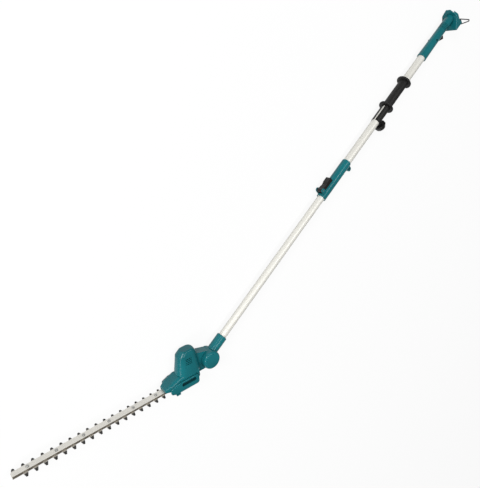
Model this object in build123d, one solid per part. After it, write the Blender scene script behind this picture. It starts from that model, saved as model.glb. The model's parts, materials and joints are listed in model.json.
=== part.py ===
from build123d import *
import os
from math import cos, pi, sin

# Cordless pole hedge trimmer with a tilting head and a telescopic pole. It is modelled in the tool's
# own axes: X runs back along the pole from the tilt axis, Y to the tool's right, Z up through the
# motor hump. The head is modelled straight, then tilted. At the end everything is laid down on the
# tool's right side, with the origin on the flat right side of the battery housing.

# Clearances
SLIDE_FIT = 0.08
GAP = 0.3

# Stance: half width of the pieces that the tool lies on, and the head's tilt at rest
REST_HALF_WIDTH = 33.0
HEAD_TILT = 35.3

# Pole tubes
OUTER_TUBE_OD = 30.0
TUBE_WALL = 1.2
TUBE_OVERLAP = 165.0
BUSH_LENGTH = 20.0
BUSH_FLANGE = 6.0
LEAD_OD = 11.0
LEAD_BORE_R = 9.0
LEAD_PLUG = 6.0

# Pole holder and tilt joint
HOLDER_OD = 36.4
HOLDER_END = 83.5
SOCKET_DEPTH = 39.5
CHEEK_R = 31.0
CHEEK_OUTER_Y = -32.0
CHEEK_INNER_Y = -12.0
CHEEK_ROUND = 7.0
SADDLE_GAP = 1.0
SOCKET_ROUND = 2.0
KNUCKLE_R = 30.0
KNUCKLE_RIGHT_Y = 20.0
TILT_BOLT_R = 5.0
TILT_HEAD_R = 9.0
TILT_HEAD_THICK = 5.0
CHEEK_CAP_THICK = 3.0
TILT_NUT_R = 8.0
TILT_NUT_THICK = 6.0
DETENT_OUTER_R = 24.0
DETENT_INNER_R = 14.0
DETENT_THICK = 2.0
LOCK_BUTTON_R = 5.0
LOCK_BUTTON_OFFSET = 19.0
LOCK_BUTTON_PROUD = 5.0
LOCK_BUTTON_LENGTH = 16.0
BUTTON_ROUND = 1.0
SPRING_WIRE = 1.0

# Cutter
TOOTH_PITCH = 26.0
FAR_TEETH = 18
NEAR_TEETH = 17
LAST_TOOTH_X = -184.0
TOOTH_REACH = 25.4
TOOTH_ROOT_HALF = 7.0
TOOTH_TIP_HALF = 2.3
BLADE_HALF_WIDTH = 9.5
BLADE_THICK = 1.8
BLADE_GAP = 0.2
CUT_PLANE_Z = -44.2
BLADE_TRAVEL = 6.5
BAR_THICK = 4.5
BAR_TIP_HALF = 10.0
BAR_ROOT_HALF = 12.0
BAR_NOSE = 8.0
BAR_TIP_ROUND = 7.0
BAR_BASE_HALF = 23.0
BAR_BASE_START = -154.0
BAR_BASE_END = -60.0
BOLT_COUNT = 6
BOLT_SPACING = 78.0
FIRST_BOLT_X = -592.0
BOLT_R = 2.5
BOLT_HEAD_R = 4.5
BOLT_HEAD_THICK = 2.6
SLEEVE_R = 4.2
NUT_R = 5.0
NUT_THICK = 2.4

# Drive
GEAR_MODULE = 1.25
GEAR_TEETH = 36
PINION_TEETH = 9
GEAR_THICK = 6.0
GEAR_ROOT_DEPTH = 1.25
GEAR_TIP_HEIGHT = 0.9
GEAR_ROOT_HALF = 0.30
GEAR_TIP_HALF = 0.12
GEAR_TOP_Z = -30.0
MOTOR_X = -77.0
MOTOR_R = 18.5
MOTOR_LENGTH = 64.0
MOTOR_EDGE_ROUND = 2.0
MOTOR_SHAFT_R = 2.5
MOTOR_SHAFT_INSIDE = 30.0
MOTOR_BOSS_R = 6.0
MOTOR_BOSS_LENGTH = 3.0
PLATE_TOP_Z = -19.0
PLATE_THICK = 7.0
PLATE_START = -152.0
PLATE_END = -56.0
PLATE_HALF_WIDTH = 21.5
POST_R = 4.0
POST_Y = 17.0
FRONT_POST_X = -147.0
REAR_POST_X = -64.0
POST_SCREW_R = 2.0
POST_SCREW_HEAD_R = 3.2
POST_SCREW_HEAD_THICK = 1.7
POST_SCREW_LENGTH = 14.0
CRANK_SHAFT_R = 5.0
CRANK_BEARING_R = 10.0
ECCENTRIC_R = 9.0
YOKE_WALL = 4.0

# Head shells
CASE_HALF_WIDTH = 27.0
CASE_WALL = 2.5
CASE_START = -156.0
CASE_END = -51.0
CASE_FLOOR_Z = -40.0
CASE_FRONT_TOP_Z = -15.0
CASE_TOP_Z = -3.0
CASE_SHOULDER_X = -125.0
ARM_FLOOR_Z = -29.0
ARM_SLOPE_X = -40.0
ARM_SLOPE_Z = 42.0
ARM_CREST_ROUND = 14.0
CASE_EDGE_ROUND = 12.0
CASE_TOE = 7.0
HUMP_BASE_Z = -13.0
HUMP_HEIGHT = 86.0
HUMP_BASE_LENGTH = 90.0
HUMP_BASE_WIDTH = 53.0
HUMP_TOP_LENGTH = 44.0
HUMP_TOP_WIDTH = 36.0
HUMP_X = -82.0
HUMP_LEAN = 8.0
HUMP_TOP_ROUND = 7.0
HUMP_CORNER_SHARE = 0.46
HUMP_BELLY_HEIGHT = 48.0
HUMP_BELLY_SHARE = 0.34
HUMP_BROW_HEIGHT = 72.0
HUMP_BROW_SHARE = 0.5
MOTOR_ROOM = 2.0
LEAD_CHANNEL_R = 6.0
VENT_COUNT = 4
VENT_PITCH = 6.0
VENT_HEIGHT = 2.4
VENT_LENGTH = 22.0
VENT_LOW_Z = 27.5
VENT_SHIFT_X = -4.0
NOSE_LENGTH = 20.0
NOSE_TIP_HALF = 17.5
NOSE_TIP_TOP_Z = -27.0
NOSE_FLOOR_GAP = 0.4
NOSE_TIP_CORNER = 6.0
NOSE_ROUND = 3.0
SHELL_SCREW_R = 1.6
SHELL_SCREW_HEAD_R = 3.2
SHELL_SCREW_HEAD_THICK = 2.5
SHELL_SCREW_REACH = 9.0
SHELL_BOSS_R = 4.8

# Under cover with its two slotted skirts
COVER_PLATE_THICK = 2.6
SKIRT_START = -146.0
SKIRT_END = -59.0
SKIRT_LEAN = 3.0
SKIRT_ROUND = 2.5
SKIRT_TAIL_ROUND = 9.0
SKIRT_NOSE_ROUND = 6.0
SKIRT_SLOT_ROUND = 4.0
SKIRT_NOSE_X = -162.0
SKIRT_NOSE_Z = -45.0
SKIRT_NOSE_TOP_Z = -27.0
SKIRT_BROW_X = -138.0
SKIRT_TOP_Z = -17.0
SKIRT_SLOT_START = -122.0
SKIRT_SLOT_END = -70.0
SKIRT_SLOT_LOW_Z = -34.5
SKIRT_SLOT_HIGH_Z = -22.0
SKIRT_SLOT_DEPTH = 5.0
FOOT_LENGTH = 14.0
FOOT_DROP = 6.0
SKIRT_SCREW_X = (-63.5, -134.0)
SKIRT_SCREW_Z = -28.0

# Telescope lock
LOCK_START = 691.5
LOCK_LENGTH = 174.5
LOCK_OD = 35.6
LOCK_LIP = 30.0
LOCK_EDGE_ROUND = 3.0
LEVER_PIN_INSET = 15.5
LEVER_PIN_Z = 25.4
LEVER_PIN_R = 2.5
LEVER_CAM_R = 7.0
LEVER_HALF_WIDTH = 10.9
LEVER_LENGTH = 57.0
LEVER_TAB_LENGTH = 20.0
LEVER_TAB_TOP_Z = 29.5
LEVER_DIP_Z = 25.5
EAR_GAP = 0.5
EAR_THICK = 4.0
EAR_ROUND_R = 8.0
SHOE_LENGTH = 15.0
SHOE_WIDTH = 15.0
BOSS_INSET = 134.5
BOSS_R = 4.5
BOSS_HEIGHT = 3.0
EYE_INSET = 165.5
EYE_DROP = 28.0
EYE_R = 9.0
EYE_HOLE_R = 4.5
EYE_WIDTH = 10.0

# Front grip
GRIP_START = 1069.5
GRIP_CLAMP_LENGTH = 79.5
GRIP_LENGTH = 134.5
GRIP_CLAMP_OD = 34.0
GRIP_CORE_WALL = 1.3
GRIP_RUBBER_WALL = 1.4
FLANGE_R = 29.0
FLANGE_THICK = 7.0
FLANGE_ROUND = 3.0
SLIT_WIDTH = 6.6
SLIT_TURN = 12.0
KNOB_INSET = 12.5
KNOB_R = 25.0
KNOB_END_R = 17.0
KNOB_HEIGHT = 20.0
KNOB_LOBES = 5
KNOB_ROUND = 3.0
KNOB_SCALLOP_R = 9.0
KNOB_BOSS_R = 9.0
KNOB_BOSS_Z = -24.0
KNOB_STUD_R = 3.0
GRIP_NUT_FLATS = 10.0
GRIP_NUT_THICK = 5.0

# Rear handle
HANDLE_START = 1418.0
HANDLE_COLLAR_R = 19.0
HANDLE_COLLAR_LENGTH = 25.0
HANDLE_COLLAR_TAPER = 0.4
HANDLE_LIP = 2.0
HANDLE_MIDDLE = 102.0
HANDLE_MIDDLE_R = 17.6
HANDLE_NECK_R = 16.8
TUBE_SEAT = 70.0
GROOVE_COUNT = 5
GROOVE_PITCH = 6.0
GROOVE_WIDTH = 2.0
GROOVE_DEPTH = 0.7
GROOVE_GAP = 6.0
HANDLE_WALL = 3.2
HANDLE_LENGTH = 246.0
HOUSING_LENGTH = 42.0
HOUSING_FLOOR_Z = -42.0
HOUSING_TOP_Z = 36.0
HOUSING_SHOULDER_Z = 8.0
HOUSING_CROWN_HALF = 10.0
HOUSING_BROW = 10.0
HOUSING_SHOULDER_SETBACK = 12.0
HOUSING_WALL = 4.0
HOUSING_ROUND = 4.5
BAY_HALF_WIDTH = 22.0
BAY_LIP = 3.0
BAY_LIP_THICK = 3.0
BAY_DEPTH = 9.0
BAY_FLOOR_Z = -24.0
TERMINAL_HALF_WIDTH = 12.0
TERMINAL_HEIGHT = 26.0
TERMINAL_THICK = 6.0
TERMINAL_BACK = 2.0
TERMINAL_FLOOR = 4.0
TERMINAL_SPACING = 8.0
TERMINAL_SLOT_WIDTH = 3.0
TERMINAL_BLADE_WIDTH = 0.8
TERMINAL_BLADE_LENGTH = 3.0
TERMINAL_BLADE_HEIGHT = 18.0
BOARD_THICK = 1.6
BOARD_LENGTH = 26.0
BOARD_Z = -28.0
TRIGGER_INSET = 112.0
TRIGGER_PIN_Z = -11.0
TRIGGER_PIN_R = 2.0
TRIGGER_PIN_LENGTH = 21.0
TRIGGER_HUB_R = 4.5
TRIGGER_LENGTH = 41.0
TRIGGER_DEPTH = 20.0
TRIGGER_TOE = 4.0
TRIGGER_FINGER = 12.0
TRIGGER_FINGER_DEPTH = 17.0
TRIGGER_HALF_WIDTH = 7.0
TRIGGER_ROOM = 3.0
TRIGGER_END_ROOM = 1.8
TRIGGER_SAG = 3.0
SWITCH_LENGTH = 30.0
SWITCH_HALF_WIDTH = 8.0
SWITCH_FLOOR_Z = -1.0
SWITCH_HEIGHT = 11.0
SPRING_R = 3.0
SPRING_BORE_R = 2.0
LOCK_OFF_INSET = 98.0
LOCK_OFF_Z = 3.0
LOCK_OFF_R = 4.5
LOCK_OFF_PROUD = 3.0
LOCK_OFF_COLLAR_R = 6.5
LOCK_OFF_SPRING_WIRE = 1.2
LOCK_OFF_COLLAR_THICK = 2.0
LOCK_OFF_SPRING_LENGTH = 9.0

# Hanging ring at the back
RING_WIRE_R = 2.0
RING_Y = -24.0
RING_HINGE_BACK = 9.0
RING_HIGH_Z = -24.0
RING_LOW_Z = -48.0
RING_LENGTH = 58.0
RING_TIP_HIGH_Z = -72.0
RING_TIP_LOW_Z = -79.0
RING_BEND_R = 3.0
BRACKET_HEIGHT = 9.0
BRACKET_TAB = 12.0
BRACKET_WALL = 3.5

# Sizes that follow from the ones above
outer_r = OUTER_TUBE_OD / 2
outer_bore_r = outer_r - TUBE_WALL
inner_r = outer_bore_r - GAP
inner_bore_r = inner_r - TUBE_WALL
holder_r = HOLDER_OD / 2
knuckle_left_y = CHEEK_INNER_Y + GAP
upper_blade_z = (CUT_PLANE_Z + BLADE_GAP / 2, CUT_PLANE_Z + BLADE_GAP / 2 + BLADE_THICK)
lower_blade_z = (CUT_PLANE_Z - BLADE_GAP / 2 - BLADE_THICK, CUT_PLANE_Z - BLADE_GAP / 2)
bar_z = (upper_blade_z[1] + BLADE_GAP, upper_blade_z[1] + BLADE_GAP + BAR_THICK)
tip_tooth_x = LAST_TOOTH_X - (FAR_TEETH - 1) * TOOTH_PITCH
gear_r = GEAR_MODULE * GEAR_TEETH / 2
pinion_r = GEAR_MODULE * PINION_TEETH / 2
crank_x = MOTOR_X - gear_r - pinion_r
plate_floor_z = PLATE_TOP_Z - PLATE_THICK
cavity_half = CASE_HALF_WIDTH - CASE_WALL
cover_z = (lower_blade_z[0] - NUT_THICK - COVER_PLATE_THICK, lower_blade_z[0] - NUT_THICK)
yoke_half_length = ECCENTRIC_R + 2 * BLADE_TRAVEL + GAP + YOKE_WALL
yoke_half_width = ECCENTRIC_R + BLADE_TRAVEL + GAP + YOKE_WALL
lock_r = LOCK_OD / 2
lock_end = LOCK_START + LOCK_LENGTH
lever_pin_x = LOCK_START + LEVER_PIN_INSET
boss_x = LOCK_START + BOSS_INSET
eye_x = LOCK_START + EYE_INSET
outer_start = LOCK_START + LOCK_LIP
inner_end = LOCK_START + TUBE_OVERLAP
tube_end = HANDLE_START + TUBE_SEAT
grip_bore_r = outer_r + SLIDE_FIT
core_r = grip_bore_r + GRIP_CORE_WALL
rubber_r = core_r + GRIP_RUBBER_WALL
clamp_r = GRIP_CLAMP_OD / 2
knob_x = GRIP_START + KNOB_INSET
low_flange_x = GRIP_START + GRIP_CLAMP_LENGTH
high_flange_x = low_flange_x + GRIP_LENGTH
handle_middle_x = HANDLE_START + HANDLE_MIDDLE
trigger_pin_x = HANDLE_START + TRIGGER_INSET
trigger_pin_y = (-TRIGGER_PIN_LENGTH / 2, TRIGGER_PIN_LENGTH / 2)
lock_off_x = HANDLE_START + LOCK_OFF_INSET
housing_end = HANDLE_START + HANDLE_LENGTH
ring_hinge_x = housing_end + RING_HINGE_BACK
ring_tip_x = ring_hinge_x + RING_LENGTH
housing_start = housing_end - HOUSING_LENGTH
bay_wall_x = housing_end - BAY_DEPTH - HOUSING_WALL
handle_bore_r = HANDLE_NECK_R - HANDLE_WALL


def block(x, y, z):
    """Box between a low and a high limit on each axis."""
    limits = (x, y, z)
    middle = [(low + high) / 2 for low, high in limits]
    size = [high - low for low, high in limits]
    return Pos(*middle) * Box(*size)


def rod_x(radius, x, y=0.0, z=0.0):
    return Pos((x[0] + x[1]) / 2, y, z) * Rot(0, 90, 0) * Cylinder(radius, x[1] - x[0])


def rod_y(radius, y, x=0.0, z=0.0):
    return Pos(x, (y[0] + y[1]) / 2, z) * Rot(90, 0, 0) * Cylinder(radius, y[1] - y[0])


def rod_z(radius, z, x=0.0, y=0.0):
    return Pos(x, y, (z[0] + z[1]) / 2) * Cylinder(radius, z[1] - z[0])


def pipe_x(radius, bore, x):
    return rod_x(radius, x) - rod_x(bore, x)


def side_plate(points, y, corner=0.0):
    """Plate with an outline in X and Z, between two limits on Y."""
    face = make_face(Polyline(*points, close=True))
    if corner:
        face = fillet(face.vertices(), corner)
    return extrude(Plane.XZ.offset(-y[1]) * face, y[1] - y[0])


def floor_plate(points, z):
    """Plate with an outline in X and Y, between two limits on Z."""
    face = make_face(Polyline(*points, close=True))
    return extrude(Plane.XY.offset(z[0]) * face, z[1] - z[0])


def turned(points):
    """Solid turned about the pole's axis from an outline of X and radius."""
    face = make_face(Polyline(*points, close=True))
    return revolve(Plane.XZ * face, Axis.X)


def spur_gear(teeth, z, x, turn):
    """Straight-flanked spur gear about a vertical axis at x, its flanks as shares of a tooth step."""
    pitch_r = GEAR_MODULE * teeth / 2
    root_r = pitch_r - GEAR_ROOT_DEPTH * GEAR_MODULE
    tip_r = pitch_r + GEAR_TIP_HEIGHT * GEAR_MODULE
    step = 2 * pi / teeth
    flank = (
        (root_r, -GEAR_ROOT_HALF),
        (tip_r, -GEAR_TIP_HALF),
        (tip_r, GEAR_TIP_HALF),
        (root_r, GEAR_ROOT_HALF),
    )
    points = []
    for tooth in range(teeth):
        for radius, share in flank:
            angle = turn + step * (tooth + share)
            points.append((x + radius * cos(angle), radius * sin(angle)))
    return floor_plate(points, z)


def shell_screws(places, y_seat):
    """Screws along Y: the head sits on y_seat, the shank runs to the other shell."""
    return [
        rod_y(SHELL_SCREW_R, (-SHELL_SCREW_REACH, y_seat), x, z)
        + rod_y(SHELL_SCREW_HEAD_R, (y_seat, y_seat + SHELL_SCREW_HEAD_THICK), x, z)
        for x, z in places
    ]


def shell_screw_holes(places, y_seat, y_open):
    holes = Part()
    for x, z in places:
        holes += rod_y(SHELL_SCREW_R, (-SHELL_SCREW_REACH, y_seat), x, z)
        holes += rod_y(SHELL_SCREW_HEAD_R + GAP, (y_seat, y_open), x, z)
    return holes


def shell_bosses(places, y):
    bosses = Part()
    for x, z in places:
        bosses += rod_y(SHELL_BOSS_R, y, x, z)
    return bosses


def halves(solid):
    """Left and right halves of a shell, parted on the tool's middle plane."""
    low, high = solid.bounding_box().min, solid.bounding_box().max
    along, upright = (low.X - GAP, high.X + GAP), (low.Z - GAP, high.Z + GAP)
    left = solid & block(along, (low.Y - GAP, 0), upright)
    right = solid & block(along, (0, high.Y + GAP), upright)
    return left, right


# Cutter
def bolt_places():
    return [FIRST_BOLT_X + BOLT_SPACING * i for i in range(BOLT_COUNT)]


def make_guide_bar():
    tip_x = tip_tooth_x - BAR_NOSE
    outline = [
        (tip_x, -BAR_TIP_HALF),
        (BAR_BASE_START, -BAR_ROOT_HALF),
        (BAR_BASE_START, -BAR_BASE_HALF),
        (BAR_BASE_END, -BAR_BASE_HALF),
        (BAR_BASE_END, BAR_BASE_HALF),
        (BAR_BASE_START, BAR_BASE_HALF),
        (BAR_BASE_START, BAR_ROOT_HALF),
        (tip_x, BAR_TIP_HALF),
    ]
    bar = floor_plate(outline, bar_z)
    tip_edges = bar.edges().filter_by(Axis.Z).group_by(Axis.X)[0]
    bar = fillet(tip_edges, BAR_TIP_ROUND)
    for x in bolt_places():
        bar -= rod_z(BOLT_R, bar_z, x)
    for x in (FRONT_POST_X, REAR_POST_X):
        for y in (-POST_Y, POST_Y):
            bar -= rod_z(POST_SCREW_R, bar_z, x, y)
    return bar - rod_z(CRANK_BEARING_R, bar_z, crank_x)


def make_teeth(z):
    """Teeth of one blade, each a solid that stands on the strip's edge."""
    teeth = []
    for count, side in ((NEAR_TEETH, -1), (FAR_TEETH, 1)):
        for i in range(count):
            x = LAST_TOOTH_X - i * TOOTH_PITCH
            outline = [
                (x - TOOTH_ROOT_HALF, side * BLADE_HALF_WIDTH),
                (x - TOOTH_TIP_HALF, side * TOOTH_REACH),
                (x + TOOTH_TIP_HALF, side * TOOTH_REACH),
                (x + TOOTH_ROOT_HALF, side * BLADE_HALF_WIDTH),
            ]
            teeth.append(floor_plate(outline, z))
    return teeth


def make_blade(z):
    """Slotted strip that carries the teeth, and the yoke that its eccentric drives."""
    yoke_x = (crank_x - yoke_half_length, crank_x + yoke_half_length)
    tip_x = tip_tooth_x - TOOTH_ROOT_HALF
    strip = block((tip_x, yoke_x[0]), (-BLADE_HALF_WIDTH, BLADE_HALF_WIDTH), z)
    slot_r = SLEEVE_R + GAP
    slot_reach = BLADE_TRAVEL + GAP
    for x in bolt_places():
        for end in (-slot_reach, slot_reach):
            strip -= rod_z(slot_r, z, x + end)
        strip -= block((x - slot_reach, x + slot_reach), (-slot_r, slot_r), z)
    window_length = yoke_half_length - YOKE_WALL
    window_width = yoke_half_width - YOKE_WALL
    yoke = block(yoke_x, (-yoke_half_width, yoke_half_width), z)
    yoke -= block((crank_x - window_length, crank_x + window_length), (-window_width, window_width), z)
    return [strip, yoke]


def make_bar_bolts():
    head_z = (bar_z[1], bar_z[1] + BOLT_HEAD_THICK)
    foot_z = lower_blade_z[0] - BLADE_GAP - NUT_THICK
    bolts = []
    for x in bolt_places():
        head = rod_z(BOLT_HEAD_R, head_z, x)
        head = fillet(head.edges().group_by(Axis.Z)[-1], BOLT_HEAD_THICK / 3)
        bolts.append(head + rod_z(BOLT_R, (foot_z, bar_z[1]), x))
    return bolts


def make_bar_sleeves():
    z = (lower_blade_z[0] - BLADE_GAP, bar_z[0])
    return [rod_z(SLEEVE_R, z, x) - rod_z(BOLT_R, z, x) for x in bolt_places()]


def make_bar_nuts():
    high = lower_blade_z[0] - BLADE_GAP
    nuts = []
    for x in bolt_places():
        hexagon = Plane.XY.offset(high - NUT_THICK) * Pos(x, 0) * RegularPolygon(NUT_R, 6)
        nuts.append(extrude(hexagon, NUT_THICK) - rod_z(BOLT_R, (high - NUT_THICK, high), x))
    return nuts


# Drive inside the head
def make_gear_plate():
    plate = block(
        (PLATE_START, PLATE_END), (-PLATE_HALF_WIDTH, PLATE_HALF_WIDTH), (plate_floor_z, PLATE_TOP_Z)
    )
    for x in (FRONT_POST_X, REAR_POST_X):
        for y in (-POST_Y, POST_Y):
            post = rod_z(POST_R, (bar_z[1], plate_floor_z), x, y)
            plate += post - rod_z(POST_SCREW_R, (bar_z[1], bar_z[0] + POST_SCREW_LENGTH), x, y)
    plate -= rod_z(MOTOR_BOSS_R, (plate_floor_z, PLATE_TOP_Z), MOTOR_X)
    return plate - rod_z(CRANK_BEARING_R, (plate_floor_z, PLATE_TOP_Z), crank_x)


def make_bar_screws():
    screws = []
    for x in (FRONT_POST_X, REAR_POST_X):
        for y in (-POST_Y, POST_Y):
            head = rod_z(POST_SCREW_HEAD_R, (bar_z[0] - POST_SCREW_HEAD_THICK, bar_z[0]), x, y)
            screws.append(head + rod_z(POST_SCREW_R, (bar_z[0], bar_z[0] + POST_SCREW_LENGTH), x, y))
    return screws


def make_motor():
    motor = rod_z(MOTOR_R, (PLATE_TOP_Z, PLATE_TOP_Z + MOTOR_LENGTH), MOTOR_X)
    motor = fillet(motor.edges().group_by(Axis.Z)[-1], MOTOR_EDGE_ROUND)
    motor += rod_z(MOTOR_BOSS_R, (PLATE_TOP_Z - MOTOR_BOSS_LENGTH, PLATE_TOP_Z), MOTOR_X)
    bore_z = (PLATE_TOP_Z - MOTOR_BOSS_LENGTH, PLATE_TOP_Z + MOTOR_SHAFT_INSIDE + GAP)
    return motor - rod_z(MOTOR_SHAFT_R + SLIDE_FIT, bore_z, MOTOR_X)


def make_motor_pinion():
    foot_z = GEAR_TOP_Z - GEAR_THICK
    pinion = spur_gear(PINION_TEETH, (foot_z, GEAR_TOP_Z), MOTOR_X, pi + pi / PINION_TEETH)
    return pinion + rod_z(MOTOR_SHAFT_R, (foot_z, PLATE_TOP_Z + MOTOR_SHAFT_INSIDE), MOTOR_X)


def make_crank():
    crank = spur_gear(GEAR_TEETH, (GEAR_TOP_Z - GEAR_THICK, GEAR_TOP_Z), crank_x, 0.0)
    crank += rod_z(CRANK_SHAFT_R, (lower_blade_z[0], PLATE_TOP_Z - GAP), crank_x)
    crank += rod_z(ECCENTRIC_R, upper_blade_z, crank_x, BLADE_TRAVEL)
    middle_z = (lower_blade_z[1], upper_blade_z[0])
    crank += rod_z(CRANK_SHAFT_R, middle_z, crank_x)
    return crank + rod_z(ECCENTRIC_R, lower_blade_z, crank_x, -BLADE_TRAVEL)


def make_crank_bearing(z):
    return rod_z(CRANK_BEARING_R, z, crank_x) - rod_z(CRANK_SHAFT_R + SLIDE_FIT, z, crank_x)


# Head shells
def head_screw_places():
    """In front of the motor, above it, behind it and low in the arm."""
    wall = MOTOR_R + MOTOR_ROOM + 2.2 * SHELL_BOSS_R
    above = PLATE_TOP_Z + MOTOR_LENGTH + MOTOR_ROOM + 2 * SHELL_BOSS_R
    return (
        (MOTOR_X - wall, CASE_TOP_Z + SHELL_BOSS_R),
        (MOTOR_X, above),
        (MOTOR_X + wall, CASE_TOP_Z + SHELL_BOSS_R),
        (-KNUCKLE_R, ARM_FLOOR_Z + 2.5 * SHELL_BOSS_R),
    )


def make_head_form():
    """Outside of the head: gear case, motor hump, arm and knuckle drum."""
    outline = [
        (CASE_START, CASE_FLOOR_Z),
        (CASE_START, CASE_FRONT_TOP_Z),
        (CASE_SHOULDER_X, CASE_TOP_Z),
        (CASE_END, CASE_TOP_Z),
        (CASE_END, ARM_FLOOR_Z),
        (CASE_END - CASE_TOE, CASE_FLOOR_Z),
    ]
    case = side_plate(outline, (-CASE_HALF_WIDTH, CASE_HALF_WIDTH))
    rims = case.edges().filter_by_position(Axis.Y, CASE_HALF_WIDTH, CASE_HALF_WIDTH)
    rims += case.edges().filter_by_position(Axis.Y, -CASE_HALF_WIDTH, -CASE_HALF_WIDTH)
    top_rims = [edge for edge in rims if edge.center().Z > CASE_FRONT_TOP_Z]
    case = fillet(top_rims, CASE_EDGE_ROUND)
    return case + make_hump() + make_arm()


def hump_section(share, z):
    """Rounded rectangle at a share of the way from the hump's base size to its top size."""
    length = HUMP_BASE_LENGTH + share * (HUMP_TOP_LENGTH - HUMP_BASE_LENGTH)
    width = HUMP_BASE_WIDTH + share * (HUMP_TOP_WIDTH - HUMP_BASE_WIDTH)
    corner = HUMP_CORNER_SHARE * min(length, width)
    middle = HUMP_X + share * HUMP_LEAN
    return Plane.XY.offset(z) * Pos(middle, 0) * RectangleRounded(length, width, corner)


def make_hump():
    base, top = HUMP_BASE_Z, HUMP_BASE_Z + HUMP_HEIGHT
    sections = [
        hump_section(0.0, base),
        hump_section(HUMP_BELLY_SHARE, base + HUMP_BELLY_HEIGHT),
        hump_section(HUMP_BROW_SHARE, base + HUMP_BROW_HEIGHT),
        hump_section(1.0, top),
    ]
    hump = loft(sections, ruled=True)
    return fillet(hump.edges().group_by(Axis.Z)[-1], HUMP_TOP_ROUND)


def make_arm():
    outline = [
        (0, KNUCKLE_R),
        (ARM_SLOPE_X, ARM_SLOPE_Z),
        (HUMP_X, ARM_SLOPE_Z),
        (HUMP_X, ARM_FLOOR_Z),
        (0, ARM_FLOOR_Z),
    ]
    arm = side_plate(outline, (knuckle_left_y, KNUCKLE_RIGHT_Y))
    crest = arm.edges().filter_by(Axis.Y).sort_by_distance((ARM_SLOPE_X, 0, ARM_SLOPE_Z))[0]
    arm = fillet(crest, ARM_CREST_ROUND)
    return arm + rod_y(KNUCKLE_R, (knuckle_left_y, KNUCKLE_RIGHT_Y))


def hump_vents():
    """Cooling slots through both sides of the hump, level with the motor."""
    vents = Part()
    middle = MOTOR_X + VENT_SHIFT_X
    x = (middle - VENT_LENGTH / 2, middle + VENT_LENGTH / 2)
    for i in range(VENT_COUNT):
        low = VENT_LOW_Z + i * VENT_PITCH
        vents += block(x, (-HUMP_BASE_WIDTH, HUMP_BASE_WIDTH), (low, low + VENT_HEIGHT))
    return vents


def make_head_shells():
    form = make_head_form()
    room = block(
        (CASE_START, PLATE_END), (-cavity_half, cavity_half), (CASE_FLOOR_Z, plate_floor_z)
    )
    room += block(
        (CASE_START, PLATE_END), (-PLATE_HALF_WIDTH, PLATE_HALF_WIDTH), (plate_floor_z, PLATE_TOP_Z)
    )
    room += rod_z(MOTOR_R + MOTOR_ROOM, (PLATE_TOP_Z, PLATE_TOP_Z + MOTOR_LENGTH + MOTOR_ROOM), MOTOR_X)
    room += rod_x(LEAD_CHANNEL_R, (MOTOR_X, -TILT_HEAD_R - LEAD_CHANNEL_R), 0, 0)
    form -= room + hump_vents()
    form -= rod_y(TILT_BOLT_R + SLIDE_FIT, (knuckle_left_y, KNUCKLE_RIGHT_Y))
    detent_y = (knuckle_left_y, knuckle_left_y + DETENT_THICK)
    form -= rod_y(DETENT_OUTER_R, detent_y) - rod_y(DETENT_INNER_R, detent_y)
    button_y = (knuckle_left_y + DETENT_THICK, KNUCKLE_RIGHT_Y)
    form -= rod_y(LOCK_BUTTON_R + SLIDE_FIT, button_y, 0, LOCK_BUTTON_OFFSET)
    form -= shell_screw_holes(head_screw_places(), SHELL_SCREW_REACH, CASE_HALF_WIDTH + HUMP_BASE_WIDTH)
    return halves(form)


def nose_section(x, half, top_z, corner):
    """Section across the head with its two upper corners rounded."""
    floor_z = bar_z[1] + NOSE_FLOOR_GAP
    face = Pos(0, (top_z + floor_z) / 2) * Rectangle(2 * half, top_z - floor_z)
    face = fillet(face.vertices().group_by(Axis.Y)[-1], corner)
    return Plane.YZ.offset(x) * face


def make_nose():
    tip_x = CASE_START - NOSE_LENGTH
    back = nose_section(CASE_START, CASE_HALF_WIDTH, CASE_FRONT_TOP_Z, CASE_EDGE_ROUND)
    front = nose_section(tip_x, NOSE_TIP_HALF, NOSE_TIP_TOP_Z, NOSE_TIP_CORNER)
    nose = loft([back, front], ruled=True)
    floor_z = bar_z[1] + NOSE_FLOOR_GAP
    rims = nose.faces().sort_by(Axis.X)[0].edges()
    nose = fillet([edge for edge in rims if edge.center().Z > floor_z + GAP], NOSE_ROUND)
    room = block(
        (tip_x + CASE_WALL * 3, CASE_START),
        (-NOSE_TIP_HALF + CASE_WALL, NOSE_TIP_HALF - CASE_WALL),
        (floor_z, NOSE_TIP_TOP_Z - CASE_WALL),
    )
    return nose - room


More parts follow.
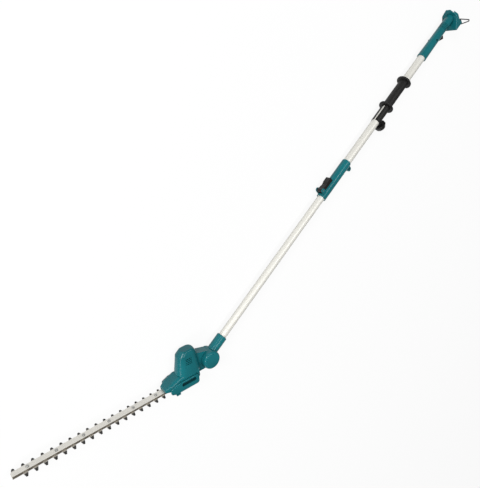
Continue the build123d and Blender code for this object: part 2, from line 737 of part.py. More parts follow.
def make_under_cover():
    plate_half = CASE_HALF_WIDTH + SKIRT_ROUND
    plate = block((SKIRT_START, SKIRT_END - SKIRT_TAIL_ROUND), (-plate_half, plate_half), cover_z)
    outline = [
        (SKIRT_END + SKIRT_LEAN, SKIRT_TOP_Z),
        (SKIRT_END, cover_z[0]),
        (SKIRT_START, cover_z[0]),
        (SKIRT_NOSE_X, SKIRT_NOSE_Z),
        (SKIRT_NOSE_X, SKIRT_NOSE_TOP_Z),
        (SKIRT_BROW_X, SKIRT_TOP_Z),
    ]
    cover = plate
    for side in (-1, 1):
        y = sorted((side * CASE_HALF_WIDTH, side * REST_HALF_WIDTH))
        skirt = side_plate(outline, y)
        tail = skirt.edges().filter_by(Axis.Y).sort_by(Axis.X)[-2:]
        skirt = fillet(tail, SKIRT_TAIL_ROUND)
        nose = skirt.edges().filter_by(Axis.Y).sort_by(Axis.X)[:2]
        skirt = fillet(nose, SKIRT_NOSE_ROUND)
        rim = skirt.faces().sort_by(Axis.Y)[0 if side < 0 else -1].edges()
        skirt = fillet(rim, SKIRT_ROUND)
        slot_y = sorted((side * (REST_HALF_WIDTH - SKIRT_SLOT_DEPTH), side * REST_HALF_WIDTH))
        slot = block((SKIRT_SLOT_START, SKIRT_SLOT_END), slot_y, (SKIRT_SLOT_LOW_Z, SKIRT_SLOT_HIGH_Z))
        skirt -= fillet(slot.edges().filter_by(Axis.Y), SKIRT_SLOT_ROUND)
        foot = block((SKIRT_START, SKIRT_START + FOOT_LENGTH), y, (cover_z[0] - FOOT_DROP, cover_z[0]))
        cover += skirt + foot
    for screw in make_skirt_screws():
        cover -= screw
    return cover


def make_skirt_screws():
    head_y = (REST_HALF_WIDTH - SHELL_SCREW_HEAD_THICK, REST_HALF_WIDTH)
    screws = []
    for x in SKIRT_SCREW_X:
        head = rod_y(SHELL_SCREW_HEAD_R, head_y, x, SKIRT_SCREW_Z)
        screws.append(head + rod_y(SHELL_SCREW_R, (CASE_HALF_WIDTH, head_y[0]), x, SKIRT_SCREW_Z))
    return screws


# Tilt joint on the pole
def make_pole_holder():
    holder = rod_x(holder_r, (0, HOLDER_END))
    holder = fillet(holder.edges().group_by(Axis.X)[-1], SOCKET_ROUND)
    holder -= rod_y(KNUCKLE_R + SADDLE_GAP, (CHEEK_INNER_Y, holder_r))
    cheek = rod_y(CHEEK_R, (CHEEK_OUTER_Y, CHEEK_INNER_Y))
    cheek = fillet(cheek.edges().group_by(Axis.Y)[0], CHEEK_ROUND)
    holder += cheek
    holder -= rod_x(inner_r, (HOLDER_END - SOCKET_DEPTH, HOLDER_END))
    holder -= rod_x(LEAD_BORE_R, (0, HOLDER_END - SOCKET_DEPTH))
    holder -= rod_y(TILT_BOLT_R, (CHEEK_OUTER_Y, CHEEK_INNER_Y))
    recess_y = (CHEEK_OUTER_Y, CHEEK_OUTER_Y + CHEEK_CAP_THICK + TILT_HEAD_THICK)
    return holder - rod_y(TILT_HEAD_R, recess_y)


def make_tilt_bolt():
    head_y = (CHEEK_OUTER_Y + CHEEK_CAP_THICK, CHEEK_OUTER_Y + CHEEK_CAP_THICK + TILT_HEAD_THICK)
    return rod_y(TILT_HEAD_R, head_y) + rod_y(
        TILT_BOLT_R, (head_y[1], KNUCKLE_RIGHT_Y + GAP + TILT_NUT_THICK)
    )


def make_tilt_nut():
    low = KNUCKLE_RIGHT_Y + GAP
    hexagon = Plane.XZ.offset(-low - TILT_NUT_THICK) * RegularPolygon(TILT_NUT_R, 6)
    nut = extrude(hexagon, TILT_NUT_THICK)
    return nut - rod_y(TILT_BOLT_R, (low, low + TILT_NUT_THICK))


def make_detent_plate():
    y = (knuckle_left_y, knuckle_left_y + DETENT_THICK)
    return rod_y(DETENT_OUTER_R, y) - rod_y(DETENT_INNER_R, y)


def make_tilt_button():
    high = KNUCKLE_RIGHT_Y + LOCK_BUTTON_PROUD
    button = rod_y(LOCK_BUTTON_R, (high - LOCK_BUTTON_LENGTH, high), 0, LOCK_BUTTON_OFFSET)
    return fillet(button.edges().group_by(Axis.Y)[-1], BUTTON_ROUND)


def make_tilt_spring():
    high = KNUCKLE_RIGHT_Y + LOCK_BUTTON_PROUD - LOCK_BUTTON_LENGTH
    y = (knuckle_left_y + DETENT_THICK, high)
    outer = LOCK_BUTTON_R - GAP
    bore = outer - SPRING_WIRE
    return rod_y(outer, y, 0, LOCK_BUTTON_OFFSET) - rod_y(bore, y, 0, LOCK_BUTTON_OFFSET)


# Pole tubes and telescope lock
def make_slide_bush():
    plug = pipe_x(inner_bore_r, LEAD_BORE_R, (inner_end - BUSH_LENGTH, inner_end))
    return plug + pipe_x(outer_bore_r - SLIDE_FIT, LEAD_BORE_R, (inner_end, inner_end + BUSH_FLANGE))


def lever_ear(side):
    inner = LEVER_HALF_WIDTH + EAR_GAP
    y = sorted((side * inner, side * (inner + EAR_THICK)))
    base = block((lever_pin_x - EAR_ROUND_R, lever_pin_x + EAR_ROUND_R), y, (0, LEVER_PIN_Z))
    ear = base + rod_y(EAR_ROUND_R, y, lever_pin_x, LEVER_PIN_Z)
    return ear - rod_y(LEVER_PIN_R, y, lever_pin_x, LEVER_PIN_Z)


def shoe_block(radius):
    x = (lever_pin_x - SHOE_LENGTH / 2, lever_pin_x + SHOE_LENGTH / 2)
    return block(x, (-SHOE_WIDTH / 2, SHOE_WIDTH / 2), (0, radius))


def lock_screw(clear):
    low = -lock_r - BOSS_HEIGHT
    screw = rod_z(SHELL_SCREW_R, (low, -outer_bore_r - clear), boss_x)
    return screw + rod_z(SHELL_SCREW_HEAD_R, (low - SHELL_SCREW_HEAD_THICK, low), boss_x)


def make_lock_sleeve():
    sleeve = rod_x(lock_r, (LOCK_START, lock_end))
    sleeve = fillet(sleeve.edges().group_by(Axis.X)[-1], LOCK_EDGE_ROUND)
    sleeve += rod_z(BOSS_R, (-lock_r - BOSS_HEIGHT, 0), boss_x)
    sleeve += lever_ear(-1) + lever_ear(1)
    sleeve -= rod_x(inner_r + SLIDE_FIT, (LOCK_START, outer_start))
    sleeve -= rod_x(outer_r, (outer_start, lock_end))
    sleeve -= shoe_block(lock_r)
    return sleeve - lock_screw(0.0)


def make_clamp_shoe():
    return shoe_block(LEVER_PIN_Z - LEVER_CAM_R - GAP) - rod_x(inner_r + GAP, (LOCK_START, lock_end))


def make_lock_lever():
    end_x = lever_pin_x + LEVER_LENGTH
    tab_x = end_x - LEVER_TAB_LENGTH
    cam_x = lever_pin_x + LEVER_CAM_R
    outline = [
        (lever_pin_x, LEVER_PIN_Z + LEVER_CAM_R),
        (lever_pin_x, LEVER_PIN_Z - LEVER_CAM_R / 2),
        (cam_x, lock_r / 2),
        (end_x, lock_r / 2),
        (end_x, LEVER_TAB_TOP_Z),
        (tab_x, LEVER_TAB_TOP_Z),
        (tab_x - LEVER_TAB_LENGTH / 2, LEVER_DIP_Z),
        (cam_x, LEVER_DIP_Z + LEVER_CAM_R / 2),
    ]
    y = (-LEVER_HALF_WIDTH, LEVER_HALF_WIDTH)
    lever = side_plate(outline, y) + rod_y(LEVER_CAM_R, y, lever_pin_x, LEVER_PIN_Z)
    lever -= rod_x(lock_r + GAP, (LOCK_START, lock_end))
    lever -= shoe_block(LEVER_PIN_Z - LEVER_CAM_R)
    return lever - rod_y(LEVER_PIN_R + SLIDE_FIT, y, lever_pin_x, LEVER_PIN_Z)


def make_lever_pin():
    reach = LEVER_HALF_WIDTH + EAR_GAP + EAR_THICK
    return rod_y(LEVER_PIN_R, (-reach, reach), lever_pin_x, LEVER_PIN_Z)


def make_hanger_eye():
    y = (-EYE_WIDTH / 2, EYE_WIDTH / 2)
    eye = rod_y(EYE_R, y, eye_x, -EYE_DROP)
    eye += block((eye_x - EYE_R, eye_x + EYE_R), y, (-EYE_DROP, 0))
    eye -= rod_x(lock_r, (LOCK_START, lock_end + EYE_R * 2))
    return eye - rod_y(EYE_HOLE_R, y, eye_x, -EYE_DROP)


# Front grip
def flange(x):
    ring = rod_x(FLANGE_R, (x - FLANGE_THICK / 2, x + FLANGE_THICK / 2))
    return fillet(ring.edges(), FLANGE_ROUND)


def knob_boss():
    return rod_z(KNOB_BOSS_R, (KNOB_BOSS_Z, 0), knob_x)


def nut_pocket():
    low = KNOB_BOSS_Z + GAP
    hexagon = RegularPolygon(GRIP_NUT_FLATS / 2, 6, major_radius=False)
    return extrude(Plane.XY.offset(low) * Pos(knob_x, 0) * hexagon, GRIP_NUT_THICK)


def make_grip_core():
    core = rod_x(core_r, (GRIP_START, high_flange_x + FLANGE_THICK / 2))
    core += rod_x(clamp_r, (GRIP_START, low_flange_x)) + flange(low_flange_x) + knob_boss()
    core -= rod_x(grip_bore_r, (GRIP_START - KNOB_R, high_flange_x + FLANGE_THICK))
    slit = block(
        (GRIP_START, low_flange_x - FLANGE_THICK), (-SLIT_WIDTH / 2, SLIT_WIDTH / 2), (0, clamp_r)
    )
    core -= Rot(SLIT_TURN, 0, 0) * slit
    core -= nut_pocket()
    return core - rod_z(KNOB_STUD_R + SLIDE_FIT, (KNOB_BOSS_Z, 0), knob_x)


def make_grip_rubber():
    start = low_flange_x + FLANGE_THICK / 2
    sleeve = rod_x(rubber_r, (start, high_flange_x)) + flange(high_flange_x)
    return sleeve - rod_x(core_r, (start, high_flange_x + FLANGE_THICK))


def make_grip_nut():
    return nut_pocket() - rod_z(KNOB_STUD_R + SLIDE_FIT, (KNOB_BOSS_Z, 0), knob_x)


def make_grip_knob():
    top_z = KNOB_BOSS_Z - GAP
    knob = Pos(knob_x, 0, top_z - KNOB_HEIGHT / 2) * Cone(KNOB_END_R, KNOB_R, KNOB_HEIGHT)
    knob = fillet(knob.edges().filter_by(GeomType.CIRCLE), KNOB_ROUND)
    for lobe in range(KNOB_LOBES):
        angle = 2 * pi * (lobe + 0.5) / KNOB_LOBES
        x = knob_x + (KNOB_R + KNOB_SCALLOP_R / 2) * cos(angle)
        y = (KNOB_R + KNOB_SCALLOP_R / 2) * sin(angle)
        knob -= rod_z(KNOB_SCALLOP_R, (top_z - KNOB_HEIGHT, top_z), x, y)
    return knob - rod_z(KNOB_STUD_R, (top_z - KNOB_HEIGHT / 2, top_z), knob_x)


def make_knob_stud():
    top_z = KNOB_BOSS_Z - GAP
    return rod_z(KNOB_STUD_R, (top_z - KNOB_HEIGHT / 2, -outer_r - GAP), knob_x)


# Rear handle
def handle_screw_places():
    """Behind the tube's end, behind the switch, and low and high in the battery housing."""
    return (
        (tube_end + 3 * SHELL_BOSS_R, 0),
        (switch_start() + SWITCH_LENGTH + 3 * SHELL_BOSS_R, 0),
        (bay_wall_x - HOUSING_WALL, BOARD_Z + BOARD_THICK + 1.5 * SHELL_BOSS_R),
        (bay_wall_x - HOUSING_WALL, 0),
    )


def housing_outline(inset):
    """Side outline of the battery housing, moved in by a wall."""
    start, end = housing_start + inset, housing_end - inset
    return [
        (start, HOUSING_FLOOR_Z + inset),
        (end, HOUSING_FLOOR_Z + inset),
        (end, HOUSING_TOP_Z - inset),
        (housing_end - HOUSING_BROW + inset / 2, HOUSING_TOP_Z - inset),
        (housing_end - HOUSING_SHOULDER_SETBACK + inset, HOUSING_SHOULDER_Z),
    ]


def housing_section(inset):
    """Section of the battery housing across the pole, moved in by a wall."""
    half, low = REST_HALF_WIDTH - inset, HOUSING_FLOOR_Z + inset
    top, shoulder = HOUSING_TOP_Z - inset, HOUSING_SHOULDER_Z - inset / 2
    crown = HOUSING_CROWN_HALF - inset / 2
    points = [(-half, low), (half, low), (half, shoulder), (crown, top), (-crown, top), (-half, shoulder)]
    return make_face(Polyline(*points, close=True))


def make_housing(inset):
    plate = side_plate(housing_outline(inset), (-REST_HALF_WIDTH + inset, REST_HALF_WIDTH - inset))
    column = extrude(Plane.YZ.offset(housing_start) * housing_section(inset), HOUSING_LENGTH)
    return plate & column


def make_barrel():
    return turned(
        [
            (HANDLE_START, 0),
            (HANDLE_START, HANDLE_COLLAR_R - HANDLE_LIP),
            (HANDLE_START + HANDLE_LIP, HANDLE_COLLAR_R),
            (HANDLE_START + HANDLE_COLLAR_LENGTH, HANDLE_COLLAR_R - HANDLE_COLLAR_TAPER),
            (handle_middle_x, HANDLE_MIDDLE_R),
            (housing_end - HOUSING_SHOULDER_SETBACK, HANDLE_NECK_R),
            (housing_end - HOUSING_SHOULDER_SETBACK, 0),
        ]
    )


def neck_grooves():
    """Finger grooves round the neck behind the trigger."""
    start = trigger_pin_x + TRIGGER_LENGTH + GROOVE_GAP
    grooves = Part()
    for i in range(GROOVE_COUNT):
        x = start + i * GROOVE_PITCH
        floor_r = HANDLE_NECK_R - GROOVE_DEPTH
        grooves += pipe_x(HANDLE_COLLAR_R, floor_r, (x, x + GROOVE_WIDTH))
    return grooves


def trigger_room():
    return block(
        (trigger_pin_x - TRIGGER_HUB_R - GAP, trigger_pin_x + TRIGGER_LENGTH + TRIGGER_END_ROOM),
        (-TRIGGER_HALF_WIDTH - GAP, TRIGGER_HALF_WIDTH + GAP),
        (-HANDLE_COLLAR_R - TRIGGER_DEPTH, TRIGGER_PIN_Z + TRIGGER_HUB_R + TRIGGER_ROOM),
    )


def bay_cut():
    """Battery bay in the rear face: a slot with two undercut rails, open at the top."""
    face_x = housing_end
    mouth = block(
        (face_x - BAY_LIP_THICK, face_x),
        (-BAY_HALF_WIDTH + BAY_LIP, BAY_HALF_WIDTH - BAY_LIP),
        (BAY_FLOOR_Z, HOUSING_TOP_Z),
    )
    depth = block(
        (face_x - BAY_DEPTH, face_x - BAY_LIP_THICK),
        (-BAY_HALF_WIDTH, BAY_HALF_WIDTH),
        (BAY_FLOOR_Z, HOUSING_TOP_Z),
    )
    return mouth + depth


def make_handle_shells():
    form = make_housing(0.0)
    form = fillet(form.edges(), HOUSING_ROUND)
    form += make_barrel()
    room = make_housing(HOUSING_WALL)
    wall_x = (bay_wall_x, housing_end)
    across = (-REST_HALF_WIDTH, REST_HALF_WIDTH)
    room -= block(wall_x, across, (HOUSING_FLOOR_Z, HOUSING_TOP_Z))
    room += rod_x(handle_bore_r, (tube_end, housing_start + HOUSING_LENGTH / 2 + HOUSING_WALL))
    bosses = shell_bosses(handle_screw_places(), (-REST_HALF_WIDTH, REST_HALF_WIDTH))
    form -= room - (bosses + handle_seats()) & room
    form -= rod_x(outer_r, (HANDLE_START, tube_end))
    form -= trigger_room() + neck_grooves()
    form -= bay_cut()
    form -= rod_y(TRIGGER_PIN_R, trigger_pin_y, trigger_pin_x, TRIGGER_PIN_Z)
    form -= rod_y(LOCK_OFF_R + SLIDE_FIT, (-HANDLE_COLLAR_R, HANDLE_COLLAR_R), lock_off_x, LOCK_OFF_Z)
    form -= shell_screw_holes(handle_screw_places(), SHELL_SCREW_REACH, REST_HALF_WIDTH + GAP)
    return halves(form)


def handle_seats():
    """Ribs inside the shells that hold the switch, and seats at both ends of the lock-off collar."""
    middle = switch_start() + SWITCH_LENGTH / 2
    rib_x = (middle - SPRING_R, middle + SPRING_R)
    rib_z = (SWITCH_FLOOR_Z + SPRING_R, SWITCH_FLOOR_Z + SWITCH_HEIGHT - SPRING_R)
    seats = block(rib_x, (SWITCH_HALF_WIDTH, HANDLE_COLLAR_R), rib_z)
    seats += block(rib_x, (-HANDLE_COLLAR_R, -SWITCH_HALF_WIDTH), rib_z)
    right = (LOCK_OFF_COLLAR_THICK, HANDLE_COLLAR_R)
    left = (-HANDLE_COLLAR_R, -LOCK_OFF_SPRING_LENGTH)
    for y in (left, right):
        seats += rod_y(LOCK_OFF_COLLAR_R + GAP, y, lock_off_x, LOCK_OFF_Z)
    return seats


def make_trigger():
    x, z = trigger_pin_x, TRIGGER_PIN_Z
    end = x + TRIGGER_LENGTH
    outline = [
        (x, z + TRIGGER_HUB_R),
        (end, z + TRIGGER_HUB_R - TRIGGER_SAG),
        (end, z - TRIGGER_DEPTH / 2),
        (end - TRIGGER_TOE, z - TRIGGER_DEPTH),
        (end - TRIGGER_FINGER, z - TRIGGER_FINGER_DEPTH),
        (x, z - TRIGGER_HUB_R),
    ]
    y = (-TRIGGER_HALF_WIDTH, TRIGGER_HALF_WIDTH)
    trigger = side_plate(outline, y) + rod_y(TRIGGER_HUB_R, y, x, z)
    return trigger - rod_y(TRIGGER_PIN_R + SLIDE_FIT, y, x, z)


def make_trigger_pin():
    return rod_y(TRIGGER_PIN_R, trigger_pin_y, trigger_pin_x, TRIGGER_PIN_Z)


def switch_start():
    return trigger_pin_x + TRIGGER_LENGTH - SWITCH_LENGTH


def make_switch():
    return block(
        (switch_start(), switch_start() + SWITCH_LENGTH),
        (-SWITCH_HALF_WIDTH, SWITCH_HALF_WIDTH),
        (SWITCH_FLOOR_Z, SWITCH_FLOOR_Z + SWITCH_HEIGHT),
    )


def make_trigger_spring():
    x = switch_start() + SPRING_R * 2
    drop = TRIGGER_SAG * (x + SPRING_R - trigger_pin_x) / TRIGGER_LENGTH
    z = (TRIGGER_PIN_Z + TRIGGER_HUB_R - drop, SWITCH_FLOOR_Z)
    return rod_z(SPRING_R, z, x) - rod_z(SPRING_BORE_R, z, x) - make_trigger()


def make_lock_off_button():
    reach = HANDLE_MIDDLE_R + LOCK_OFF_PROUD
    button = rod_y(LOCK_OFF_R, (-HANDLE_MIDDLE_R + LOCK_OFF_PROUD, reach), lock_off_x, LOCK_OFF_Z)
    button = fillet(button.edges().filter_by(GeomType.CIRCLE), BUTTON_ROUND)
    return button + rod_y(LOCK_OFF_COLLAR_R, (0, LOCK_OFF_COLLAR_THICK), lock_off_x, LOCK_OFF_Z)


def make_lock_off_spring():
    y = (-LOCK_OFF_SPRING_LENGTH, 0)
    bore = LOCK_OFF_COLLAR_R - LOCK_OFF_SPRING_WIRE
    return rod_y(LOCK_OFF_COLLAR_R, y, lock_off_x, LOCK_OFF_Z) - rod_y(bore, y, lock_off_x, LOCK_OFF_Z)


def make_controller_board():
    board = block(
        (bay_wall_x - BOARD_LENGTH, bay_wall_x),
        (-REST_HALF_WIDTH + HOUSING_WALL, REST_HALF_WIDTH - HOUSING_WALL),
        (BOARD_Z, BOARD_Z + BOARD_THICK),
    )
    return board & make_housing(HOUSING_WALL)


def make_battery_terminal():
    back = housing_end - BAY_DEPTH
    body = block(
        (back, back + TERMINAL_THICK),
        (-TERMINAL_HALF_WIDTH, TERMINAL_HALF_WIDTH),
        (BAY_FLOOR_Z, BAY_FLOOR_Z + TERMINAL_HEIGHT),
    )
    floor_z = BAY_FLOOR_Z + TERMINAL_FLOOR
    inner = back + TERMINAL_BACK
    slot_half = TERMINAL_SLOT_WIDTH / 2
    blade_half = TERMINAL_BLADE_WIDTH / 2
    for y in (-TERMINAL_SPACING, 0.0, TERMINAL_SPACING):
        body -= block(
            (inner, back + TERMINAL_THICK),
            (y - slot_half, y + slot_half),
            (floor_z, BAY_FLOOR_Z + TERMINAL_HEIGHT),
        )
        body += block(
            (inner, inner + TERMINAL_BLADE_LENGTH),
            (y - blade_half, y + blade_half),
            (floor_z, floor_z + TERMINAL_BLADE_HEIGHT),
        )
    return body


def ring_path():
    """Closed wire: hinge side, upper leg, blunt tip and lower leg."""
    return [
        (ring_hinge_x, RING_HIGH_Z),
        (ring_tip_x, RING_TIP_HIGH_Z),
        (ring_tip_x, RING_TIP_LOW_Z),
        (ring_hinge_x, RING_LOW_Z),
    ]


def make_hanging_ring():
    face = make_face(Polyline(*ring_path(), close=True))
    face = fillet(face.vertices(), RING_BEND_R)
    wire = Plane.XZ.offset(-RING_Y) * face.face().outer_wire()
    start = wire @ 0
    section = Plane(origin=start, z_dir=wire % 0) * Circle(RING_WIRE_R)
    return sweep(section, path=wire)


def bracket_z():
    middle = (RING_HIGH_Z + RING_LOW_Z) / 2 - RING_BEND_R
    return (middle - BRACKET_HEIGHT / 2, middle + BRACKET_HEIGHT / 2)


def make_ring_bracket():
    reach = RING_WIRE_R + BRACKET_WALL
    bracket = block(
        (housing_end, ring_hinge_x), (RING_Y - reach, RING_Y + reach), bracket_z()
    ) + rod_z(reach, bracket_z(), ring_hinge_x, RING_Y)
    bracket += block(
        (housing_end, housing_end + BRACKET_WALL),
        (RING_Y - reach, RING_Y + reach),
        (bracket_z()[0], BAY_FLOOR_Z - GAP),
    )
    tab_y = RING_Y + RING_WIRE_R + GAP
    bracket += block(
        (housing_end, ring_hinge_x + BRACKET_TAB),
        (tab_y, tab_y + BRACKET_WALL),
        (bracket_z()[0] - BRACKET_TAB / 2, bracket_z()[1]),
    )
    return bracket - rod_z(RING_WIRE_R + SLIDE_FIT, bracket_z(), ring_hinge_x, RING_Y)


def make_spiral_lead():
    start = HOLDER_END - SOCKET_DEPTH
    lead = rod_x(LEAD_OD / 2, (start - LEAD_PLUG, tube_end))
    lead += rod_x(LEAD_BORE_R, (start - LEAD_PLUG, start))
    return lead + rod_x(outer_bore_r, (tube_end - LEAD_PLUG, tube_end))


# Gather the pieces, each under its own name
def head_pieces():
    left, right = make_head_shells()
    return {
        "guide_bar": make_guide_bar(),
        "upper_blade": make_blade(upper_blade_z),
        "upper_teeth": make_teeth(upper_blade_z),
        "lower_blade": make_blade(lower_blade_z),
        "lower_teeth": make_teeth(lower_blade_z),
        "bar_bolts": make_bar_bolts(),
        "bar_sleeves": make_bar_sleeves(),
        "bar_nuts": make_bar_nuts(),
        "bar_screws": make_bar_screws(),
        "gear_plate": make_gear_plate(),
        "motor": make_motor(),
        "motor_pinion": make_motor_pinion(),
        "crank_gear": make_crank(),
        "upper_crank_bearing": make_crank_bearing((plate_floor_z, PLATE_TOP_Z)),
        "lower_crank_bearing": make_crank_bearing(bar_z),
        "head_shell_left": left,
        "head_shell_right": right,
        "head_screws": shell_screws(head_screw_places(), SHELL_SCREW_REACH),
        "nose_cover": make_nose(),
        "under_cover": make_under_cover(),
        "skirt_screws": make_skirt_screws(),
        "detent_plate": make_detent_plate(),
        "tilt_lock_button": make_tilt_button(),
        "tilt_lock_spring": make_tilt_spring(),
    }


def pole_pieces():
    left, right = make_handle_shells()
    return {
        "pole_holder": make_pole_holder(),
        "tilt_bolt": make_tilt_bolt(),
        "tilt_nut": make_tilt_nut(),
        "cheek_cap": rod_y(TILT_HEAD_R, (CHEEK_OUTER_Y, CHEEK_OUTER_Y + CHEEK_CAP_THICK)),
        "inner_tube": pipe_x(inner_r, inner_bore_r, (HOLDER_END - SOCKET_DEPTH, inner_end)),
        "slide_bush": make_slide_bush(),
        "outer_tube": pipe_x(outer_r, outer_bore_r, (outer_start, tube_end)) - lock_screw(-TUBE_WALL),
        "lock_sleeve": make_lock_sleeve(),
        "lock_sleeve_screw": lock_screw(TUBE_WALL / 4),
        "clamp_shoe": make_clamp_shoe(),
        "lock_lever": make_lock_lever(),
        "lever_pin": make_lever_pin(),
        "hanger_eye": make_hanger_eye(),
        "grip_core": make_grip_core(),
        "grip_rubber": make_grip_rubber(),
        "grip_nut": make_grip_nut(),
        "grip_knob": make_grip_knob(),
        "knob_stud": make_knob_stud(),
        "handle_shell_left": left,
        "handle_shell_right": right,
        "handle_screws": shell_screws(handle_screw_places(), SHELL_SCREW_REACH),
        "trigger": make_trigger(),
        "trigger_pin": make_trigger_pin(),
        "trigger_spring": make_trigger_spring(),
        "switch": make_switch(),
        "lock_off_button": make_lock_off_button(),
        "lock_off_spring": make_lock_off_spring(),
        "controller_board": make_controller_board(),
        "battery_terminal": make_battery_terminal(),
        "hanging_ring": make_hanging_ring(),
        "ring_bracket": make_ring_bracket(),
        "spiral_lead": make_spiral_lead(),
    }


# Lay the tool down on its right side, origin on the battery housing's flat side
rest_x = housing_end - HOUSING_LENGTH / 3
rest_z = (HOUSING_FLOOR_Z + HOUSING_SHOULDER_Z) / 2
lay_down = Rot(-90, 0, 0) * Pos(-rest_x, -REST_HALF_WIDTH, -rest_z)
tilt_head = Rot(0, HEAD_TILT, 0)


def solids_of(piece, place):
    items = piece if isinstance(piece, list) else [piece]
    return [solid for item in items for solid in (place * item).solids()]


os.makedirs("parts", exist_ok=True)
pieces = {name: (piece, lay_down * tilt_head) for name, piece in head_pieces().items()}
pieces.update({name: (piece, lay_down) for name, piece in pole_pieces().items()})
for name, (piece, place) in pieces.items():
    export_step(Compound(children=solids_of(piece, place)), f"parts/{name}.step")
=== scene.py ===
import json
import math

import bpy
from mathutils import Matrix, Vector


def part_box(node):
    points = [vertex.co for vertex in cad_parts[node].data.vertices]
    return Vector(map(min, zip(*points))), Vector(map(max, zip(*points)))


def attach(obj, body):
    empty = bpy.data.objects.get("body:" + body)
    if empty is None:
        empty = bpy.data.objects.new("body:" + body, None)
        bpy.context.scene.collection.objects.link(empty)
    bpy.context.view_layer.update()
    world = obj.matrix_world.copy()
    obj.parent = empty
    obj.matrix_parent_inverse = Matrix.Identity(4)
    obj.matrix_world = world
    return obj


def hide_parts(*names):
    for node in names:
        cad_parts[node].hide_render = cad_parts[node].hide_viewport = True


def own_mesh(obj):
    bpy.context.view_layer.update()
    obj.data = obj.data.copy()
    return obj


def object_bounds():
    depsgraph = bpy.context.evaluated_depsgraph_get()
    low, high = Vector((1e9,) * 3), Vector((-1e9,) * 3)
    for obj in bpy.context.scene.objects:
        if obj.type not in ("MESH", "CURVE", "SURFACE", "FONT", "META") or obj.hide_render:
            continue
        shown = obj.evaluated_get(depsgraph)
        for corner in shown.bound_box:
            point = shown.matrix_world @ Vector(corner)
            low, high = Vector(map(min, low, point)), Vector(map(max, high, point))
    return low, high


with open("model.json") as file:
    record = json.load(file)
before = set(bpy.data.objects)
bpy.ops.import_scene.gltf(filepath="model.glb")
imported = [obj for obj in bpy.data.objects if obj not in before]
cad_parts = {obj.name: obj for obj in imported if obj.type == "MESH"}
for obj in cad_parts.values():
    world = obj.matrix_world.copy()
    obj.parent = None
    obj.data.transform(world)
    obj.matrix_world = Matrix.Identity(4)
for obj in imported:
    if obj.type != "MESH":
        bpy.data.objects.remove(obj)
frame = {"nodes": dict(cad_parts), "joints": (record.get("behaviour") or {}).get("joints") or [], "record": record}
cad_box = [list(corner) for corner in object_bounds()]
nodes = frame["nodes"]
joints = {joint["name"]: joint for joint in frame["joints"]}

# Photograph's height and lens; it is taller than it is wide
FRAME_HEIGHT_PX = 488
FOCAL_PX = 464.0
SENSOR_MM = 36.0

# Camera, measured from the tilt joint, and its axes in the part's frame
CAMERA_FROM_TILT = Vector((0.0315, 1.1273, 1.1230))
CAMERA_RIGHT = Vector((0.5836, -0.5315, 0.6139))
CAMERA_UP = Vector((0.7842, 0.5652, -0.2561))

# Studio: softbox places from the part's middle, in metres, with their sizes and powers
STRIP_PLACE = Vector((1.2, 1.1, 4.9))
STRIP_AIM = Vector((0.0, 0.0, -1.0))
STRIP_LENGTH = 5.0
STRIP_DEPTH = 1.4
STRIP_POWER = 120.0
KEY_PLACE = Vector((-1.5, 4.0, 2.6))
KEY_SIZE = 1.3
KEY_POWER = 115.0
BLADE_END_PLACE = Vector((-4.0, 1.6, 2.4))
BLADE_END_SIZE = 1.2
BLADE_END_POWER = 60.0
WORLD_STRENGTH = 0.25
FLOOR_SIZE = 30.0
FLOOR_SEEN = (0.95, 0.95, 0.95)
FLOOR_BOUNCE = (0.45, 0.45, 0.45)
FLOOR_GLOW_SHARE = 0.90
FLOOR_SPECULAR = 0.2
FLOOR_ROUGH = 0.9

# Height of the tool's middle plane, where its shells part and its teeth are rooted
MIDDLE_Z = joints["head_tilt"]["pos_m"][2]
# Distances from that plane: the skirts' outer faces, where painted shade starts in their slots, the
# shells' parting line from its edge to its core, and a tooth from its bright part to its dark tip
SKIRT_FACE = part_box("under_cover")[1].z - MIDDLE_Z
SLOT_SHADE_DEPTH = 0.003
SLOT_SPAN = (SKIRT_FACE - SLOT_SHADE_DEPTH, SKIRT_FACE - 1.5 * SLOT_SHADE_DEPTH)
SEAM_SPAN = (0.00045, 0.00020)
TOOTH_TIP_SPAN = (0.0135, 0.0180)

# Wound pieces: keep is the share of their length left at their joint's limit, and a piece with no
# radius of its own fills its CAD node's width
COILS = {
    "spiral_lead": {"axis": 0, "wire": 0.0018, "turns": 150, "keep": 0.64, "radius": 0.0037},
    "lock_off_spring": {"axis": 2, "wire": 0.0006, "turns": 4, "keep": 0.44},
    "tilt_lock_spring": {"axis": 2, "wire": 0.0005, "turns": 8, "keep": 0.78},
    "trigger_spring": {"axis": 1, "wire": 0.0004, "turns": 5, "keep": 0.52},
}
COIL_STEPS = 14
WIRE_SIDES = 6

# Colours, linear
TEAL = (0.008, 0.158, 0.182)
TEAL_DARK = (0.006, 0.128, 0.148)
TEAL_WORN = (0.090, 0.280, 0.300)
# Painted shade, laid into crevices and slot floors where shade falls
TEAL_PAINTED_SHADE = (0.002, 0.030, 0.036)
BLACK = (0.010, 0.0098, 0.0092)
BLACK_PALE = (0.015, 0.0146, 0.0138)
BLACK_WORN = (0.060, 0.058, 0.054)
# Painted shade, laid into crevices where shade falls
BLACK_PAINTED_SHADE = (0.004, 0.0038, 0.0035)
RUBBER = (0.014, 0.0136, 0.0128)
RUBBER_PALE = (0.022, 0.0212, 0.020)
TUBE = (0.82, 0.81, 0.75)
TUBE_DULL = (0.79, 0.775, 0.72)
NICKEL = (0.80, 0.78, 0.73)
NICKEL_DULL = (0.70, 0.68, 0.63)
# Painted shade on the blade plates' edge faces
EDGE_FACE_SHADE = (0.24, 0.21, 0.17)
TOOTH_TIP = (0.035, 0.034, 0.032)
STEEL = (0.36, 0.36, 0.37)
STEEL_DULL = (0.27, 0.27, 0.28)
ZINC = (0.46, 0.46, 0.45)
ZINC_DULL = (0.36, 0.36, 0.35)
BOARD_GREEN = (0.010, 0.080, 0.035)
BOARD_DARK = (0.006, 0.050, 0.022)

